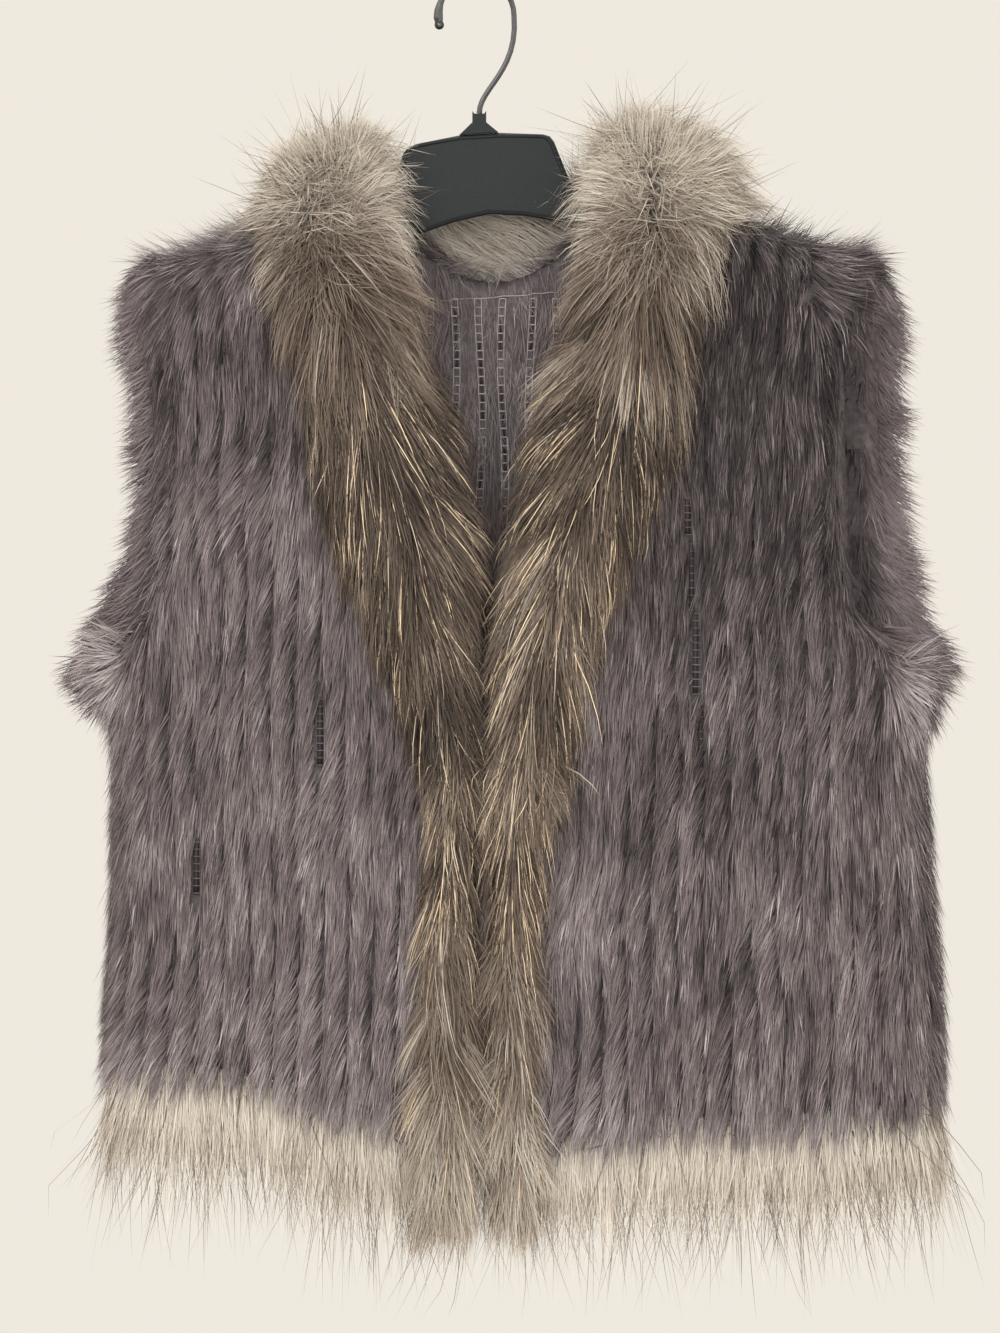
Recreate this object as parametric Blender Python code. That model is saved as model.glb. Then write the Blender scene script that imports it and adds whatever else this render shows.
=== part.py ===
"""Knitted fur vest with a long-haired collar, front trims and hem fringe, hung on a plate hanger.

Metres, +Z up. The origin is the inside top of the hanger's hook. The front faces -Y, and left and
right are as seen from the front. The cloth hangs from a shoulder line over the hanger's arms: front
and back leave that line as a quarter arc and then fall straight, and meet again at the side seams.
"""
import math

import bmesh
import bpy
import numpy as np

# Cloth: wall of knit and pile, gaps at seams and under what lies on a panel
WALL = 0.014
SEAM = 0.0003
TRIM_LIE = 0.0007
LAPEL_LIE = 0.0012
COLLAR_LIE = 0.0018
HEM_GAP = 0.0010

# Hanging shape: height of the shoulder arc, squareness of the level sections, height of the armpits
ARC = 0.065
FLATNESS = 3.0
ARMPIT = -0.430

# Outer edges of the hanging vest: height, left, right
OUTLINE = (
    (-0.720, -0.240, 0.302),
    (-0.644, -0.239, 0.300),
    (-0.581, -0.235, 0.295),
    (-0.518, -0.234, 0.291),
    (-0.468, -0.235, 0.289),
    (-0.440, -0.252, 0.299),
    (-0.424, -0.253, 0.299),
    (-0.406, -0.242, 0.285),
    (-0.372, -0.223, 0.273),
    (-0.333, -0.208, 0.267),
    (-0.261, -0.212, 0.262),
    (-0.207, -0.222, 0.267),
    (-0.180, -0.216, 0.258),
)

# Depth of the outer faces from the seam plane: height, front, back
DEPTH = (
    (-0.740, 0.055, 0.046),
    (-0.430, 0.050, 0.044),
    (-0.200, 0.047, 0.042),
)

# Shoulder line, from the left tip past both neck points to the right tip: x, height
SHOULDER = (
    (-0.214, -0.178),
    (-0.061, -0.128),
    (0.087, -0.122),
    (0.257, -0.174),
)

# Front edges of the two fronts: height, left, right
FRONT_EDGE = (
    (-0.430, -0.002, 0.004),
    (-0.392, -0.003, 0.018),
    (-0.330, -0.032, 0.050),
    (-0.267, -0.057, 0.078),
    (-0.204, -0.070, 0.094),
    (-0.140, -0.063, 0.088),
)

# Armhole edges of the two fronts: height, left, right
FRONT_ARMHOLE = (
    (-0.430, -0.253, 0.299),
    (-0.422, -0.243, 0.280),
    (-0.412, -0.230, 0.256),
    (-0.392, -0.214, 0.239),
    (-0.333, -0.203, 0.235),
    (-0.253, -0.205, 0.231),
    (-0.222, -0.210, 0.236),
    (-0.205, -0.216, 0.256),
    (-0.180, -0.211, 0.253),
)
BACK_ARMHOLE_SHARE = 0.98

# Hems: x, height
FRONT_HEM = (
    (-0.240, -0.692),
    (-0.174, -0.698),
    (-0.111, -0.711),
    (-0.048, -0.733),
    (0.053, -0.739),
    (0.110, -0.731),
    (0.236, -0.727),
    (0.302, -0.716),
)
BACK_HEM = (
    (-0.240, -0.692),
    (-0.100, -0.712),
    (0.160, -0.718),
    (0.302, -0.714),
)

# Soft upright folds in the lower body: x, half width, depth outward, height where they begin
FOLDS = (
    (-0.165, 0.030, -0.006, -0.440),
    (-0.090, 0.026, 0.005, -0.500),
    (0.125, 0.032, -0.006, -0.450),
    (0.215, 0.028, 0.005, -0.500),
)
FOLD_RAMP = 0.150

# Knitted ribs: columns across a front, and how deep the valley between two ribs is
FRONT_COLUMNS = 18
BACK_COLUMNS = 36
RIB_VALLEY = 0.0025

# Rows: angles down the shoulder arc, then shares of the way to the hem (close together at the armpit)
ARC_ANGLES = (0.0, 22.5, 45.0, 67.5, 90.0)
PANEL_FALLS = (0.12, 0.24, 0.33, 0.372, 0.415, 0.50, 0.60, 0.70, 0.80, 0.90, 1.0)
LAPEL_FALLS = (0.17, 0.34, 0.50, 0.67, 0.84, 1.0)

# Back neckline: middle, half width, drop below the shoulder line
NECK_MIDDLE = 0.013
NECK_HALF = 0.074
NECK_DROP = 0.062
NECK_SPREAD = 0.6

# Lapels: height, left inner, left outer, right inner, right outer, loft of the fur
LAPEL = (
    (-0.481, 0.002, -0.030, 0.006, 0.056, 0.022),
    (-0.424, 0.004, -0.055, 0.008, 0.073, 0.025),
    (-0.367, 0.003, -0.083, 0.013, 0.091, 0.028),
    (-0.317, -0.006, -0.103, 0.031, 0.113, 0.029),
    (-0.267, -0.024, -0.111, 0.044, 0.132, 0.030),
    (-0.222, -0.035, -0.120, 0.054, 0.141, 0.032),
    (-0.191, -0.040, -0.135, 0.062, 0.149, 0.034),
    (-0.159, -0.050, -0.142, 0.069, 0.163, 0.037),
    (-0.130, -0.058, -0.137, 0.072, 0.165, 0.040),
)
LAPEL_COLUMNS = 8

# Front trims below the lapels: the same columns
TRIM = (
    (-0.764, 0.001, -0.040, 0.005, 0.043, 0.014),
    (-0.708, 0.002, -0.040, 0.005, 0.042, 0.020),
    (-0.645, 0.002, -0.037, 0.005, 0.040, 0.021),
    (-0.582, 0.001, -0.038, 0.005, 0.040, 0.021),
    (-0.519, 0.001, -0.032, 0.005, 0.044, 0.021),
    (-0.481, 0.002, -0.030, 0.006, 0.056, 0.022),
)
TRIM_COLUMNS = 6
TRIM_ROWS = 9

# Back of the collar, a half ring round the neck: middle, half width and drop of its two edges, loft
RING_INNER = (0.007, 0.065, 0.020)
RING_OUTER = (0.014, 0.151, 0.092)
RING_LOFT_ENDS = 0.040
RING_LOFT_BACK = 0.028
RING_SEGMENTS = 18
RING_COLUMNS = 8

# Rounded cross section of collar, lapels and trims: thinnest at the edges
DOME_EDGE = 0.003
DOME_POWER = 2.4
DOME_ROUND = 0.6

# Hem trim: strip sewn under the hem, with locks of hair growing from it (rings: share of length, taper)
STRIP_HEIGHT = 0.008
STRIP_IN = 0.003
STRIP_THICK = 0.008
LOCK_SHARE = 0.68
LOCK_LENGTH = 0.067
LOCK_VARY = 0.008
LOCK_SWAY = 0.004
LOCK_RINGS = ((0.5, 0.85), (0.5, 0.22))
LENGTH_TURN = 2.4
SWAY_TURN = 1.7
LOCKS_LEFT = 28
LOCKS_RIGHT = 34
LOCKS_BACK = 52

# Hanger plate and arms: half thickness, rounding, gap under the shoulder seam
PLATE_HALF = 0.004
PLATE_ROUND = 0.0028
ARM_LIE = 0.0013
ARM_HEIGHT = 0.014
ARM_TIPS = (-0.178, 0.220)
ARM_ROOTS = (-0.084, 0.108)
# Plate outline between the arms, over the top and back along the arch below: x, height
PLATE_TOP = (
    (-0.0660, -0.1520),
    (-0.0535, -0.1400),
    (-0.0508, -0.1242),
    (-0.0462, -0.1095),
    (-0.0431, -0.1059),
    (-0.0373, -0.1035),
    (-0.0108, -0.0982),
    (0.0143, -0.0965),
    (0.0425, -0.0975),
    (0.0466, -0.0987),
    (0.0493, -0.1020),
    (0.0601, -0.1291),
    (0.0678, -0.1407),
    (0.0880, -0.1490),
)
PLATE_ARCH = (
    (0.060, -0.154),
    (0.030, -0.149),
    (0.008, -0.148),
    (-0.014, -0.153),
    (-0.034, -0.160),
)

# Hanger neck: middle, half widths of the neck and of its foot, heights, seat for the wire
SOCKET_X = 0.002
SOCKET_HALF = 0.0044
SOCKET_EAR = 0.0012
SOCKET_TOP = -0.0828
SOCKET_SEAT = -0.0845
SOCKET_NECK = -0.0900
SOCKET_DEPTH_HALF = 0.0045
SOCKET_FOOT = ((0.0140, -0.0965), (-0.0105, -0.0982))

# Hook: wire and bend radius to its middle line, angle at the tip, curve of the stem, ball at the tip
WIRE_RADIUS = 0.0017
HOOK_RADIUS = 0.024
HOOK_FROM = 194.0
HOOK_STEPS = 18
HOOK_STEM = ((0.027, -0.058), (0.002, -0.068))
STEM_STEPS = 12
HOOK_BALL = (1.35, 1.75, 1.6, 1.25)

RABBIT = ("knitted_fur", (0.155, 0.128, 0.140), 0.85, 0.0)
RACCOON = ("collar_fur", (0.262, 0.222, 0.180), 0.8, 0.0)
HEM_HAIR = ("hem_fur", (0.610, 0.545, 0.460), 0.8, 0.0)
PLASTIC = ("hanger_plastic", (0.036, 0.040, 0.042), 0.42, 0.0)
STEEL = ("hook_steel", (0.480, 0.480, 0.470), 0.3, 1.0)

FRONT = -1
BACK = 1
FACES_DOWN = -0.8
SHARP_ANGLE = math.radians(50.0)


def clear_scene():
    for thing in list(bpy.data.objects):
        bpy.data.objects.remove(thing)


def collection_for_parts():
    parts = bpy.data.collections.new("fur_trim_vest")
    bpy.context.scene.collection.children.link(parts)
    return parts


def finish(kind):
    name, colour, roughness, metallic = kind
    made = bpy.data.materials.get(name)
    if made is None:
        made = bpy.data.materials.new(name)
        made.use_nodes = True
        shader = made.node_tree.nodes["Principled BSDF"]
        shader.inputs["Base Color"].default_value = (*colour, 1.0)
        shader.inputs["Roughness"].default_value = roughness
        shader.inputs["Metallic"].default_value = metallic
    return made


def read(rows, at, column):
    """A table's column, read between its rows at a value of the first column."""
    table = np.array(rows)
    return np.interp(at, table[:, 0], table[:, column])


def between(start, end, share):
    return start + (end - start) * share


def shoulder(x):
    return read(SHOULDER, x, 1)


def fold_depth(x, height):
    depth = np.zeros_like(x)
    for middle, half, outward, begins in FOLDS:
        strength = np.clip((begins - height) / FOLD_RAMP, 0.0, 1.0)
        depth = depth + outward * strength * np.exp(-((x - middle) / half) ** 2)
    return depth


def on_cloth(x, drop, face, out=0.0):
    """Points of the hanging shape at x and a drop below the shoulder line.

    face is FRONT or BACK, and out is how far the points are moved outward from the outer face.
    """
    height = shoulder(x) - drop
    left = read(OUTLINE, height, 1)
    right = read(OUTLINE, height, 2)
    centre = (left + right) / 2
    half = (right - left) / 2
    across = np.clip((x - centre) / half, -1.0, 1.0)
    bulge = (1.0 - np.abs(across) ** FLATNESS) ** (1.0 / FLATNESS)
    rise = np.clip(1.0 - drop / ARC, 0.0, 1.0)
    reach = np.sqrt(1.0 - rise ** 2)
    depth = read(DEPTH, height, 1 if face == FRONT else 2) + fold_depth(x, height) + out
    moved = centre + across * (half + np.minimum(out, 0.0))
    top = between(shoulder(x), shoulder(moved), rise)
    y = face * (depth * bulge * reach + SEAM / 2)
    return np.stack((moved, y, top - drop + out * rise), axis=-1)


def drape(near, far, hem, columns, falls, top_drop=None):
    """Grids of x and drop for a hanging piece, from the shoulder seam to its hem.

    near and far give the x of its two long edges at a height, hem the height of the last row at x,
    and top_drop how far below the shoulder line the first row lies at x.
    """
    share = np.linspace(0.0, 1.0, columns + 1)
    x_top = between(near(0.0), far(0.0), share)
    x_hem = between(near(-1.0), far(-1.0), share)
    start = np.zeros_like(x_top) if top_drop is None else top_drop(x_top)
    arc_end = ARC + NECK_SPREAD * start
    heights = []
    for angle in ARC_ANGLES:
        heights.append(shoulder(x_top) - between(start, arc_end, 1.0 - math.cos(math.radians(angle))))
    for fall in falls:
        heights.append(between(shoulder(x_top) - arc_end, hem(x_hem), fall))
    heights = np.array(heights)
    x = between(near(heights), far(heights), share)
    drop = shoulder(x) - heights
    # rows of the arc keep an even drop, so that pieces lying on each other share their facets
    for row in range(len(ARC_ANGLES)):
        drop[row] = shoulder(x_top) - heights[row]
    return x, drop


def dome(share):
    """Height of a rounded strip across its width, from 0 at its edges to 1."""
    return (1.0 - np.abs(2.0 * share - 1.0) ** DOME_POWER) ** DOME_ROUND


def wall(outer, inner):
    """Closed wall between two grids of points of the same size."""
    rows, columns = outer.shape[:2]
    outer = outer.reshape(-1, 3)
    inner = inner.reshape(-1, 3)
    body = bmesh.new()
    bmesh.ops.create_grid(body, x_segments=columns - 1, y_segments=rows - 1, size=1.0)
    place = body.verts.layers.int.new("place")
    for number, vert in enumerate(body.verts):
        vert[place] = number
        vert.co = outer[number]
    grown = bmesh.ops.extrude_face_region(body, geom=body.faces[:], use_keep_orig=True)
    for item in grown["geom"]:
        if isinstance(item, bmesh.types.BMVert):
            item.co = inner[item[place]]
    body.verts.layers.int.remove(place)
    bmesh.ops.recalc_face_normals(body, faces=body.faces[:])
    return body


def add_piece(parts, name, body, kind):
    mesh = bpy.data.meshes.new(name)
    body.to_mesh(mesh)
    body.free()
    mesh.materials.append(finish(kind))
    mesh.shade_smooth()
    mesh.set_sharp_from_angle(angle=SHARP_ANGLE)
    piece = bpy.data.objects.new(name, mesh)
    parts.objects.link(piece)
    return piece


def panel(parts, name, x, drop, face):
    """Knitted panel: ribs in its outer points over a plain inside."""
    valley = np.where(np.arange(x.shape[1]) % 2 == 1, -RIB_VALLEY, 0.0)
    rib = np.broadcast_to(valley, x.shape)
    outer = on_cloth(x, drop, face)
    outer[..., 1] = on_cloth(x, drop, face, rib)[..., 1]
    add_piece(parts, name, wall(outer, on_cloth(x, drop, face, -WALL)), RABBIT)


def front_panel(parts, name, column):
    def near(height):
        return read(FRONT_EDGE, height, column)

    def far(height):
        armhole = read(FRONT_ARMHOLE, height, column)
        return np.where(np.less(height, ARMPIT), read(OUTLINE, height, column), armhole)

    def hem(x):
        return read(FRONT_HEM, x, 1)

    x, drop = drape(near, far, hem, FRONT_COLUMNS, PANEL_FALLS)
    panel(parts, name, x, drop, FRONT)


def back_panel(parts):
    def edge(height, column):
        outline = read(OUTLINE, height, column)
        middle = (read(OUTLINE, height, 1) + read(OUTLINE, height, 2)) / 2
        armhole = middle + BACK_ARMHOLE_SHARE * (outline - middle)
        return np.where(np.less(height, ARMPIT), outline, armhole)

    def neckline(x):
        return NECK_DROP * np.clip(1.0 - ((x - NECK_MIDDLE) / NECK_HALF) ** 2, 0.0, 1.0)

    x, drop = drape(
        lambda height: edge(height, 1),
        lambda height: edge(height, 2),
        lambda x: read(BACK_HEM, x, 1),
        BACK_COLUMNS, PANEL_FALLS, neckline)
    panel(parts, "back", x, drop, BACK)


def rounded_strip(parts, name, x, drop, face, loft, lie, share):
    """Thick fur strip that lies on the cloth: a plain underside and a rounded outside."""
    outside = lie + DOME_EDGE + loft * dome(share)
    body = wall(on_cloth(x, drop, face, outside), on_cloth(x, drop, face, lie))
    add_piece(parts, name, body, RACCOON)


def lapel(parts, name, inner, outer):
    def near(height):
        return read(LAPEL, height, inner)

    def far(height):
        return read(LAPEL, height, outer)

    foot = LAPEL[0][0] + SEAM / 2
    x, drop = drape(near, far, lambda x: np.full_like(x, foot), LAPEL_COLUMNS, LAPEL_FALLS)
    share = np.broadcast_to(np.linspace(0.0, 1.0, LAPEL_COLUMNS + 1), x.shape)
    rounded_strip(parts, name, x, drop, FRONT, read(LAPEL, shoulder(x) - drop, 5), LAPEL_LIE, share)


def front_trim(parts, name, inner, outer):
    head = TRIM[-1][0] - SEAM / 2
    heights = np.linspace(head, TRIM[0][0], TRIM_ROWS + 1)[:, None]
    share = np.linspace(0.0, 1.0, TRIM_COLUMNS + 1)[None, :]
    x = between(read(TRIM, heights, inner), read(TRIM, heights, outer), share)
    drop = shoulder(x) - heights
    share = np.broadcast_to(share, x.shape)
    loft = np.broadcast_to(read(TRIM, heights, 5), x.shape)
    rounded_strip(parts, name, x, drop, FRONT, loft, TRIM_LIE, share)


def collar_back(parts):
    # sections stand close together at the shoulders, where the arc below them is steep
    turn = math.pi / 2 * (1.0 - np.cos(np.linspace(0.0, math.pi, RING_SEGMENTS + 1)))[:, None]
    share = np.linspace(0.0, 1.0, RING_COLUMNS + 1)[None, :]
    middle, half, deep = (between(a, b, share) for a, b in zip(RING_INNER, RING_OUTER))
    x = middle + half * np.cos(turn)
    drop = deep * np.clip(np.sin(turn), 0.0, 1.0)
    loft = between(RING_LOFT_BACK, RING_LOFT_ENDS, np.abs(np.cos(turn))) * np.ones_like(x)
    share = np.broadcast_to(share, x.shape)
    rounded_strip(parts, "collar_back", x, drop, BACK, loft, COLLAR_LIE, share)


def grow_lock(body, root, number):
    """A tapered four-sided lock of hair out of one face of the strip."""
    length = LOCK_LENGTH + LOCK_VARY * math.sin(LENGTH_TURN * number)
    sway = LOCK_SWAY * math.sin(SWAY_TURN * number)
    for share, taper in LOCK_RINGS:
        root = bmesh.ops.extrude_discrete_faces(body, faces=[root])["faces"][0]
        centre = root.calc_center_median()
        for vert in root.verts:
            vert.co = centre + (vert.co - centre) * taper
            vert.co.x += sway * share
            vert.co.z -= length * share


def hem_trim(parts, name, ends, hem_table, face, locks):
    """Strip parted from the cloth's edge, with the roots of its locks in its underside."""
    cells = np.array([LOCK_SHARE, 1.0 - LOCK_SHARE] * locks)[:-1]
    share = np.concatenate(([0.0], np.cumsum(cells))) / np.sum(cells)
    x = np.tile(between(ends[0], ends[1], share), (2, 1))
    height = read(hem_table, x, 1) - HEM_GAP
    height[1] -= STRIP_HEIGHT
    drop = shoulder(x) - height
    body = wall(on_cloth(x, drop, face, -STRIP_IN), on_cloth(x, drop, face, -STRIP_IN - STRIP_THICK))
    under = [side for side in body.faces if side.normal.z < FACES_DOWN]
    under.sort(key=lambda side: side.calc_center_median().x)
    for number, root in enumerate(under[::2]):
        grow_lock(body, root, number)
    add_piece(parts, name, body, HEM_HAIR)


def flat_piece(parts, name, outline, half, rounding, kind):
    """Flat plate in the XZ plane from an outline, with rounded edges."""
    curve = bpy.data.curves.new(name, "CURVE")
    curve.dimensions = "2D"
    curve.fill_mode = "BOTH"
    curve.extrude = half - rounding
    curve.bevel_depth = rounding
    curve.bevel_resolution = 1
    curve.offset = -rounding
    spline = curve.splines.new("POLY")
    spline.points.add(len(outline) - 1)
    for point, (x, height) in zip(spline.points, outline):
        point.co = (x, height, 0.0, 1.0)
    spline.use_cyclic_u = True
    curve.materials.append(finish(kind))
    piece = bpy.data.objects.new(name, curve)
    piece.rotation_euler = (math.pi / 2, 0.0, 0.0)
    parts.objects.link(piece)
    return piece


def arm_top(x):
    return float(shoulder(x)) - WALL - ARM_LIE


def hanger_body(parts):
    left_tip, right_tip = ARM_TIPS
    left_root, right_root = ARM_ROOTS
    nose = ARM_HEIGHT / 2
    outline = [(left_tip - nose, arm_top(left_tip) - nose), (left_tip, arm_top(left_tip))]
    outline.append((left_root, arm_top(left_root)))
    outline.extend(PLATE_TOP)
    outline.append((right_root, arm_top(right_root)))
    outline.append((right_tip, arm_top(right_tip)))
    outline.append((right_tip + nose, arm_top(right_tip) - nose))
    outline.append((right_tip, arm_top(right_tip) - ARM_HEIGHT))
    outline.append((right_root, arm_top(right_root) - ARM_HEIGHT))
    outline.extend(PLATE_ARCH)
    outline.append((left_root, arm_top(left_root) - ARM_HEIGHT))
    outline.append((left_tip, arm_top(left_tip) - ARM_HEIGHT))
    flat_piece(parts, "hanger_body", outline[::-1], PLATE_HALF, PLATE_ROUND, PLASTIC)


def hanger_socket(parts):
    (foot_right, foot_right_z), (foot_left, foot_left_z) = SOCKET_FOOT
    half, ear = SOCKET_HALF, SOCKET_HALF - SOCKET_EAR
    outline = [
        (SOCKET_X - half, SOCKET_TOP),
        (SOCKET_X - half, SOCKET_NECK),
        (foot_left, foot_left_z + SEAM),
        (foot_right, foot_right_z + SEAM),
        (SOCKET_X + half, SOCKET_NECK),
        (SOCKET_X + half, SOCKET_TOP),
        (SOCKET_X + ear, SOCKET_SEAT),
        (SOCKET_X - ear, SOCKET_SEAT),
    ]
    flat_piece(parts, "hanger_socket", outline, SOCKET_DEPTH_HALF, SOCKET_EAR / 4, PLASTIC)


def hook_route():
    """Middle line of the wire: the bend from its tip over the top, then the stem to the neck."""
    centre = WIRE_RADIUS - HOOK_RADIUS
    route = []
    for step in range(HOOK_STEPS):
        angle = math.radians(HOOK_FROM * (1.0 - step / HOOK_STEPS))
        route.append((HOOK_RADIUS * math.cos(angle), centre + HOOK_RADIUS * math.sin(angle)))
    stem = ((HOOK_RADIUS, centre), *HOOK_STEM, (SOCKET_X, SOCKET_SEAT + SEAM))
    for step in range(STEM_STEPS + 1):
        t = step / STEM_STEPS
        weights = ((1 - t) ** 3, 3 * t * (1 - t) ** 2, 3 * t * t * (1 - t), t ** 3)
        route.append(tuple(sum(w * point[axis] for w, point in zip(weights, stem)) for axis in (0, 1)))
    return route


def hanger_hook(parts):
    curve = bpy.data.curves.new("hanger_hook", "CURVE")
    curve.dimensions = "3D"
    curve.bevel_depth = WIRE_RADIUS
    curve.bevel_resolution = 2
    curve.use_fill_caps = True
    route = hook_route()
    spline = curve.splines.new("POLY")
    spline.points.add(len(route) - 1)
    for number, (point, (x, height)) in enumerate(zip(spline.points, route)):
        point.co = (x, 0.0, height, 1.0)
        point.radius = HOOK_BALL[number] if number < len(HOOK_BALL) else 1.0
    curve.materials.append(finish(STEEL))
    parts.objects.link(bpy.data.objects.new("hanger_hook", curve))


def main():
    clear_scene()
    parts = collection_for_parts()
    front_panel(parts, "front_left", 1)
    front_panel(parts, "front_right", 2)
    back_panel(parts)
    lapel(parts, "lapel_left", 1, 2)
    lapel(parts, "lapel_right", 3, 4)
    front_trim(parts, "front_trim_left", 1, 2)
    front_trim(parts, "front_trim_right", 3, 4)
    collar_back(parts)
    left_side, right_side = OUTLINE[0][1:]
    left_front, right_front = FRONT_EDGE[0][1:]
    hem_trim(parts, "hem_trim_front_left", (left_front, left_side), FRONT_HEM, FRONT, LOCKS_LEFT)
    hem_trim(parts, "hem_trim_front_right", (right_front, right_side), FRONT_HEM, FRONT, LOCKS_RIGHT)
    hem_trim(parts, "hem_trim_back", (left_side, right_side), BACK_HEM, BACK, LOCKS_BACK)
    hanger_body(parts)
    hanger_socket(parts)
    hanger_hook(parts)


main()
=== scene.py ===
"""Looks of the fur trim vest: knit walls, pile, long hair, hanger, floor, light and camera.

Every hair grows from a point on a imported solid: its root lies under the solid's outer face and its
tip near that face, so the fur fills the solids. Metres, +Z up, the front faces -Y.
"""
import math
from collections import namedtuple

import bpy
import numpy as np
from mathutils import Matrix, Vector
from mathutils.bvhtree import BVHTree
from mathutils.kdtree import KDTree


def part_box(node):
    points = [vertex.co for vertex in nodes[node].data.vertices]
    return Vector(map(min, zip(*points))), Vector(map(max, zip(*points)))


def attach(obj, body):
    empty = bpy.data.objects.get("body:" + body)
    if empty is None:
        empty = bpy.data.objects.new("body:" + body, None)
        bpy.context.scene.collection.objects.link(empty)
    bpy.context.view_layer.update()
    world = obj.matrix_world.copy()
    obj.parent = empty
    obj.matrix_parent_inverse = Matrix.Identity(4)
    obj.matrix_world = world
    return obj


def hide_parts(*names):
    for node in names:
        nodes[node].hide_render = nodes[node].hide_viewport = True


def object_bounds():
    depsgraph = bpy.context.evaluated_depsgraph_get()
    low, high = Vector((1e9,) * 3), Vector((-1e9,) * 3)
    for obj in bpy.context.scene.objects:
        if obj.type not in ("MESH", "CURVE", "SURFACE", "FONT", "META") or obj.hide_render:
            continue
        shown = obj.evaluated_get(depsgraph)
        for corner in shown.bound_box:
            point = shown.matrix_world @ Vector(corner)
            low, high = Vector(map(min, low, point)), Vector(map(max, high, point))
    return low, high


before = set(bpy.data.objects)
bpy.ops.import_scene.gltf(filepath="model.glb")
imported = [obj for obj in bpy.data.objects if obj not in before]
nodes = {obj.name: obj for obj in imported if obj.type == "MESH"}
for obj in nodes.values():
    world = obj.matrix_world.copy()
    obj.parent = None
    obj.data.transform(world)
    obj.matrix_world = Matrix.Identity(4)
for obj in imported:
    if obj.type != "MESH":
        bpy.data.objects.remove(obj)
cad_box = [list(corner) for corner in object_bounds()]

# Photograph: size, metres a pixel, and the pixel above which the frame's origin lies
IMAGE = (1000, 1333)
METRES_A_PIXEL = 0.00063
ORIGIN_PIXEL = (476, -23)
CAMERA_DISTANCE = 6.0
CAMERA_PLANE = -0.03
SENSOR = 36.0

# Middle of the hanging body and of its neck, and the height below which its sections are level
BODY_MIDDLE = 0.026
NECK_MIDDLE = 0.01
ARC_FOOT = -0.30

# Distance of the knitted rows, and points closer than this are one
ROW_PITCH = 0.016
WELD = 1e-5
DOWN = np.array((0.0, 0.0, -1.0))

# Hair ends no farther out of the solids' box than this
HAIR_MARGIN = np.array((0.020, 0.011, 0.024))
HAIR_LOW = np.array(cad_box[0]) - HAIR_MARGIN
HAIR_HIGH = np.array(cad_box[1]) + HAIR_MARGIN


def pixel(px, py):
    """x and z of a pixel on the garment's plane."""
    return (px - ORIGIN_PIXEL[0]) * METRES_A_PIXEL, (ORIGIN_PIXEL[1] - py) * METRES_A_PIXEL


def unit(vectors):
    return vectors / np.maximum(np.linalg.norm(vectors, axis=-1, keepdims=True), 1e-9)


def smooth(low, high, value):
    share = np.clip((value - low) / (high - low), 0.0, 1.0)
    return share * share * (3.0 - 2.0 * share)


def waves(x, z, scale, rng, count=6):
    """Slow random waves over the garment, mostly between -1 and 1."""
    total = np.zeros_like(x)
    for _ in range(count):
        angle = rng.uniform(0.0, 2.0 * math.pi)
        pace = 2.0 * math.pi / (scale * rng.uniform(0.6, 1.6))
        phase = rng.uniform(0.0, 2.0 * math.pi)
        total += np.sin(pace * (x * math.cos(angle) + z * math.sin(angle)) + phase)
    return total / math.sqrt(count)


# Reading the solids

def crosses(corners):
    """Normals of triangles, each twice as long as its triangle's area."""
    return np.cross(corners[:, 1] - corners[:, 0], corners[:, 2] - corners[:, 0])


def weld(corners):
    """One corner's number for each place, and the place of each corner."""
    keys = np.round(corners.reshape(-1, 3) / WELD).astype(np.int64)
    _, first, same = np.unique(keys, axis=0, return_index=True, return_inverse=True)
    return first, same.reshape(-1)


def solid_tree(node):
    """Search tree of a node's faces."""
    mesh = nodes[node].data
    return BVHTree.FromPolygons([v.co for v in mesh.vertices], [p.vertices for p in mesh.polygons])


def triangles(node):
    """Corner points of a node's triangles, and how far each faces away from the body's middle."""
    mesh = nodes[node].data
    mesh.calc_loop_triangles()
    index = np.empty(len(mesh.loop_triangles) * 3, dtype=np.int32)
    mesh.loop_triangles.foreach_get("vertices", index)
    points = np.empty(len(mesh.vertices) * 3, dtype=np.float32)
    mesh.vertices.foreach_get("co", points)
    corners = points.reshape(-1, 3)[index].reshape(-1, 3, 3).astype(np.float64)
    normal = unit(crosses(corners))
    middle = corners.mean(axis=1)
    away = np.stack((
        (middle[:, 0] - BODY_MIDDLE) * 0.2,
        middle[:, 1],
        np.maximum(middle[:, 2] - ARC_FOOT, 0.0) * 0.5), axis=-1)
    return corners, np.sum(normal * unit(away), axis=-1)


def corner_normals(corners):
    """Normals at the corners of a patch, shared by corners at the same place."""
    cross = crosses(corners)
    same = weld(corners)[1]
    total = np.zeros((same.max() + 1, 3))
    np.add.at(total, same, np.repeat(cross, 3, axis=0))
    return unit(total)[same].reshape(-1, 3, 3)


def scatter(corners, count, rng, weight=None):
    """Random points on a patch, with their normals."""
    cross = crosses(corners)
    area = np.linalg.norm(cross, axis=-1)
    if weight is not None:
        area *= weight(corners.mean(axis=1))
    pick = rng.choice(len(corners), size=count, p=area / area.sum())
    a, b = rng.random((2, count))
    over = a + b > 1.0
    a[over], b[over] = 1.0 - a[over], 1.0 - b[over]
    share = np.stack((1.0 - a - b, a, b), axis=-1)[..., None]
    normals = corner_normals(corners)
    return np.sum(corners[pick] * share, axis=1), unit(np.sum(normals[pick] * share, axis=1))


def outer_patch(node, least=0.3):
    """Outer triangles of a node, without the cut edges that face down."""
    corners, facing = triangles(node)
    normal = unit(crosses(corners))
    return corners[(facing > least) & (normal[:, 2] > -0.7)]


# Hair

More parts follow.
